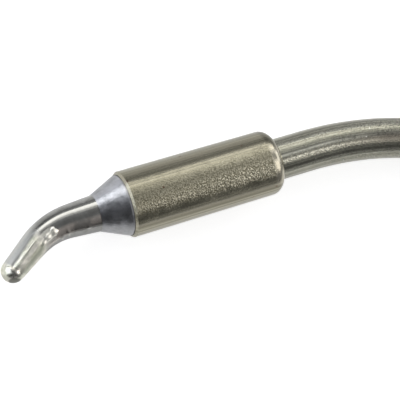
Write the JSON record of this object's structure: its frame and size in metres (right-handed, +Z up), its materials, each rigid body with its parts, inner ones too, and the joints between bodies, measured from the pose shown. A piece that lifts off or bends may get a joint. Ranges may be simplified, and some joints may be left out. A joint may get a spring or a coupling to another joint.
{
  "type": "soldering iron tip",
  "caption": "Bent round soldering tip and cone on a heater sleeve with a curved tubular shank and a coaxial contact; plugs into a soldering handle.",
  "frame": {"origin": "on the floor, under the middle of the whole part's bounding box", "axes": "+X along the sleeve's axis from the tip towards the shank, both bends turn towards -Y, +Z up; the part lies on its side as it comes to rest"},
  "size_m": [0.0762, 0.0226, 0.005],
  "materials": {
    "plated_tip": "satin plated copper, wetted with bright solder on its end",
    "sleeve_steel": "nickel grey with a warm cast, fine grain along its length",
    "shank_steel": "drawn tube, lightly pitted",
    "alumina": "fired",
    "resistance_ribbon": "oxidised flat ribbon",
    "resistance_wire": "round wire",
    "shield_alloy": "plain rolled tube",
    "bush_ceramic": "fired",
    "ferrule_brass": "plain",
    "copper": "bare copper",
    "fluoropolymer": "translucent white",
    "insulator_plastic": "moulded, off white",
    "contact_brass": "turned and lightly polished"
  },
  "bodies": {
    "root": {"tip": "plated_tip", "sleeve": "sleeve_steel", "shank": "shank_steel", "former": "alumina", "heater_coil": "resistance_ribbon", "coil_lead": "resistance_wire", "shield": "shield_alloy", "rear_bush": "bush_ceramic", "ferrule": "ferrule_brass", "conductor": "copper", "insulation_front": "fluoropolymer", "insulation_rear": "fluoropolymer", "contact_insulator": "insulator_plastic", "contact": "contact_brass"}
  },
  "joints": []
}
